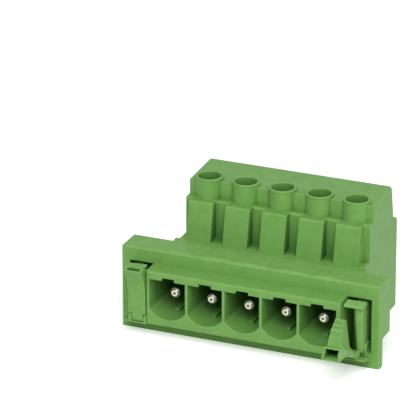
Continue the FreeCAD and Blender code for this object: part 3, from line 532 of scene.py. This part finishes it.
def ridge_tree(material):
    """Ridges spread along the wedge's curved edge, shorter towards its tip."""
    tree = bpy.data.node_groups.new("wedge_ridges", "GeometryNodeTree")
    names = ("Ridges", "Arc Radius", "First Turn", "Last Turn", "Near Side", "Root Length",
             "Tip Length", "Ridge Width", "Ridge Height")
    sockets = {}
    for name in names:
        kind = "NodeSocketInt" if name == "Ridges" else "NodeSocketFloat"
        made = tree.interface.new_socket(name, in_out="INPUT", socket_type=kind)
        sockets[name] = made.identifier
    tree.interface.new_socket("Geometry", in_out="OUTPUT", socket_type="NodeSocketGeometry")
    given = add_node(tree, "NodeGroupInput")
    spots = add_node(tree, "GeometryNodePoints", {}, {"Count": (given, "Ridges")})
    number = add_node(tree, "GeometryNodeInputIndex")
    last = add_node(tree, "ShaderNodeMath", {"operation": "SUBTRACT", 1: 1.0},
                    {0: (given, "Ridges")})
    share = add_node(tree, "ShaderNodeMath", {"operation": "DIVIDE"},
                     {0: (number, "Index"), 1: (last, 0)})
    turn = add_node(tree, "ShaderNodeMapRange", {},
                    {"Value": (share, 0), "To Min": (given, "First Turn"),
                     "To Max": (given, "Last Turn")})
    length = add_node(tree, "ShaderNodeMapRange", {},
                      {"Value": (share, 0), "To Min": (given, "Root Length"),
                       "To Max": (given, "Tip Length")})
    half = add_node(tree, "ShaderNodeMath", {"operation": "MULTIPLY", 1: 0.5},
                    {0: (length, "Result")})
    middle = add_node(tree, "ShaderNodeMath", {"operation": "ADD"},
                      {0: (given, "Near Side"), 1: (half, 0)})
    sine = add_node(tree, "ShaderNodeMath", {"operation": "SINE"}, {0: (turn, "Result")})
    cosine = add_node(tree, "ShaderNodeMath", {"operation": "COSINE"}, {0: (turn, "Result")})
    inwards = add_node(tree, "ShaderNodeMath", {"operation": "MULTIPLY"},
                       {0: (sine, 0), 1: (given, "Arc Radius")})
    upwards = add_node(tree, "ShaderNodeMath", {"operation": "MULTIPLY"},
                       {0: (cosine, 0), 1: (given, "Arc Radius")})
    spot = add_node(tree, "ShaderNodeCombineXYZ", {},
                    {"X": (middle, 0), "Y": (inwards, 0), "Z": (upwards, 0)})
    set_spot = add_node(tree, "GeometryNodeSetPosition", {},
                        {"Geometry": (spots, "Points"), "Position": (spot, 0)})
    # The bar has the ridge's width and height and is 1 m long, and each copy is scaled to length.
    size = add_node(tree, "ShaderNodeCombineXYZ", {"X": 1.0},
                    {"Y": (given, "Ridge Width"), "Z": (given, "Ridge Height")})
    bar = add_node(tree, "GeometryNodeMeshCube", {}, {"Size": (size, 0)})
    lean = add_node(tree, "ShaderNodeMath", {"operation": "MULTIPLY", 1: -1.0},
                    {0: (turn, "Result")})
    tilt = add_node(tree, "ShaderNodeCombineXYZ", {}, {"X": (lean, 0)})
    stretch = add_node(tree, "ShaderNodeCombineXYZ", {"Y": 1.0, "Z": 1.0},
                       {"X": (length, "Result")})
    row = add_node(tree, "GeometryNodeInstanceOnPoints", {},
                   {"Points": (set_spot, "Geometry"), "Instance": (bar, "Mesh"),
                    "Rotation": (tilt, 0), "Scale": (stretch, 0)})
    real = add_node(tree, "GeometryNodeRealizeInstances", {}, {"Geometry": (row, "Instances")})
    dressed = add_node(tree, "GeometryNodeSetMaterial", {"Material": material},
                       {"Geometry": (real, "Geometry")})
    add_node(tree, "NodeGroupOutput", {}, {"Geometry": (dressed, "Geometry")})
    return tree, sockets


ridges, ridge_sockets = ridge_tree(latch_polyamide)
RIDGE_SIZES = {"Ridges": 8, "Arc Radius": 8.96 * MM, "First Turn": math.radians(12),
               "Last Turn": math.radians(36.5), "Near Side": 20.0 * MM,
               "Root Length": 2.3 * MM, "Tip Length": 1.72 * MM,
               "Ridge Width": 0.16 * MM, "Ridge Height": 0.2 * MM}
for side in SIDES:
    holder = new_object("ridge_holder", bpy.data.meshes.new("ridge_holder"))
    builder = holder.modifiers.new("ridges", "NODES")
    builder.node_group = ridges
    for name, value in RIDGE_SIZES.items():
        builder[ridge_sockets[name]] = value
    mesh = finished_mesh(holder)
    bpy.data.objects.remove(holder)
    for vertex in mesh.vertices:
        point = vertex.co.copy()
        point.x *= LEVER_SENSE[side]
        vertex.co = swing(point, side)
    if LEVER_SENSE[side] < 0:
        mesh.flip_normals()
    row = new_object("wedge_ridges_" + side, mesh)
    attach(row, "lever_" + side)


# The spring arms stand in the pockets beside the levers, each with a hook over its lever's wedge.
# They are moulded in the same polyamide, and bend outwards at the foot when the wedge is pressed
# in. They get a paler copy of the polyamide: painted light, standing in for the brighter light on
# their fronts.
# Paler greens: painted light on the arms.
ARM_LIT_DEEP = "#76a658"
ARM_LIT_PALE = "#81b063"
ARM_ROUGHNESS = 0.42
ARM_ROUNDING = 0.2 * MM
arm_polyamide_lit = moulded_polyamide("polyamide_66_green_painted_light", ARM_LIT_DEEP, ARM_LIT_PALE, ARM_ROUGHNESS)
for side in SIDES:
    arm = merged_copy("latch_arm_" + side, arm_polyamide_lit)
    round_edges(arm, ARM_ROUNDING)
    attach(arm, "arm_" + side)
    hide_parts("latch_arm_" + side)


# The studio: a pale seamless floor, which the block stands on, and large soft lights.
# The camera, and whatever reflects, sees the floor and the surroundings as white.
WHITE = "#ffffff"
PAPER_GREY = "#f1f1f1"
PAPER_PALE = "#f7f7f7"
PAPER_FIBRE = 0.6 * MM
FLOOR_SIZE = 4.0
FLOOR_LIFT = 0.42
floor_level = cad_box[0][2]
bpy.ops.mesh.primitive_plane_add(size=FLOOR_SIZE, location=(0, 0, floor_level))
floor = bpy.context.object
floor.name = "studio_floor"


def seen_directly(tree):
    """1 for camera, mirror and glass rays, 0 for the light that spreads from a surface."""
    ray = add_node(tree, "ShaderNodeLightPath")
    mirrored = add_node(tree, "ShaderNodeMath", {"operation": "MAXIMUM"},
                        {0: (ray, "Is Camera Ray"), 1: (ray, "Is Glossy Ray")})
    return add_node(tree, "ShaderNodeMath", {"operation": "MAXIMUM"},
                    {0: (mirrored, 0), 1: (ray, "Is Transmission Ray")})


# Matt paper on a roll. Its fibres are too fine to show, so its mottling is drawn 0.6 mm wide.
paper, tree = blank_material("seamless_paper_white")
spot = add_node(tree, "ShaderNodeTexCoord")
fibre = add_node(tree, "ShaderNodeTexNoise", {"Scale": 1 / PAPER_FIBRE, "Detail": 2.0},
                 {"Vector": (spot, "Object")})
tone = add_node(tree, "ShaderNodeValToRGB", {}, {"Fac": (fibre, "Fac")})
tone.color_ramp.elements[0].color = linear_colour(PAPER_GREY)
tone.color_ramp.elements[1].color = linear_colour(PAPER_PALE)
matt = add_node(tree, "ShaderNodeBsdfDiffuse", {}, {"Color": (tone, "Color")})
direct = seen_directly(tree)
lift = add_node(tree, "ShaderNodeMath", {"operation": "MULTIPLY", 1: FLOOR_LIFT}, {0: (direct, 0)})
glow = add_node(tree, "ShaderNodeEmission", {"Color": linear_colour(WHITE)},
                {"Strength": (lift, 0)})
both = add_node(tree, "ShaderNodeAddShader", {}, {0: (matt, "BSDF"), 1: (glow, "Emission")})
add_node(tree, "ShaderNodeOutputMaterial", {}, {"Surface": (both, "Shader")})
floor.data.materials.append(paper)

# The room is a little darker on the left than on the right, which gives round forms their shading.
# Where it is seen directly, its strength is 1, which is white.
ROOM_LEFT = 0.32
ROOM_RIGHT = 0.6
world = bpy.data.worlds.new("studio_world")
bpy.context.scene.world = world
world.use_nodes = True
tree = world.node_tree
tree.nodes.clear()
direct = seen_directly(tree)
outlook = add_node(tree, "ShaderNodeTexCoord")
bearing = add_node(tree, "ShaderNodeSeparateXYZ", {}, {"Vector": (outlook, "Generated")})
room = add_node(tree, "ShaderNodeMapRange",
                {"From Min": -1.0, "From Max": 1.0, "To Min": ROOM_LEFT, "To Max": ROOM_RIGHT},
                {"Value": (bearing, "X")})
strength = add_node(tree, "ShaderNodeMapRange", {"To Max": 1.0},
                    {"Value": (direct, 0), "To Min": (room, "Result")})
sky = add_node(tree, "ShaderNodeBackground", {"Color": linear_colour(WHITE)},
               {"Strength": (strength, "Result")})
add_node(tree, "ShaderNodeOutputWorld", {}, {"Surface": (sky, "Background")})

# Two square area lights look at the middle of the block, with their sizes in metres and their
# powers in watts.
BLOCK_MIDDLE = Vector((0, 0.012, 0))
KEY_SPOT = (0.1, -0.28, 0.32)
KEY_SIZE = 0.26
KEY_POWER = 1.35
SIDE_SPOT = (0.36, -0.08, 0.14)
SIDE_SIZE = 0.16
SIDE_POWER = 0.16


def soft_light(name, place, size, power):
    """A square area light that looks at the block."""
    data = bpy.data.lights.new(name, "AREA")
    data.shape = "SQUARE"
    data.size = size
    data.energy = power
    light = new_object(name, data)
    light.location = place
    light.rotation_euler = (BLOCK_MIDDLE - Vector(place)).to_track_quat("-Z", "Y").to_euler()


soft_light("key_light", KEY_SPOT, KEY_SIZE, KEY_POWER)
soft_light("side_light", SIDE_SPOT, SIDE_SIZE, SIDE_POWER)

# The camera looks at the plug side from the right and from above, through a long lens.
# Its line of sight passes beside the origin by SIGHT_RIGHT and SIGHT_UP.
AZIMUTH = math.radians(22.75)
ELEVATION = math.radians(22.66)
DISTANCE = 692.9 * MM
SIGHT_RIGHT = -8.61 * MM
SIGHT_UP = 19.19 * MM
FOCAL_PIXELS = 3640
FRAME_PIXELS = 408
back = Vector((math.sin(AZIMUTH) * math.cos(ELEVATION), -math.cos(AZIMUTH) * math.cos(ELEVATION),
               math.sin(ELEVATION)))
right = Vector((math.cos(AZIMUTH), math.sin(AZIMUTH), 0))
up = back.cross(right)
data = bpy.data.cameras.new("studio_camera")
data.sensor_width = 36.0
data.lens = data.sensor_width * FOCAL_PIXELS / FRAME_PIXELS
data.clip_start = 0.01
camera = new_object("studio_camera", data)
stand = Matrix.Translation(back * DISTANCE + right * SIGHT_RIGHT + up * SIGHT_UP)
camera.matrix_world = stand @ Matrix((right, up, back)).transposed().to_4x4()
bpy.context.scene.camera = camera
bpy.context.scene.view_settings.view_transform = "Standard"
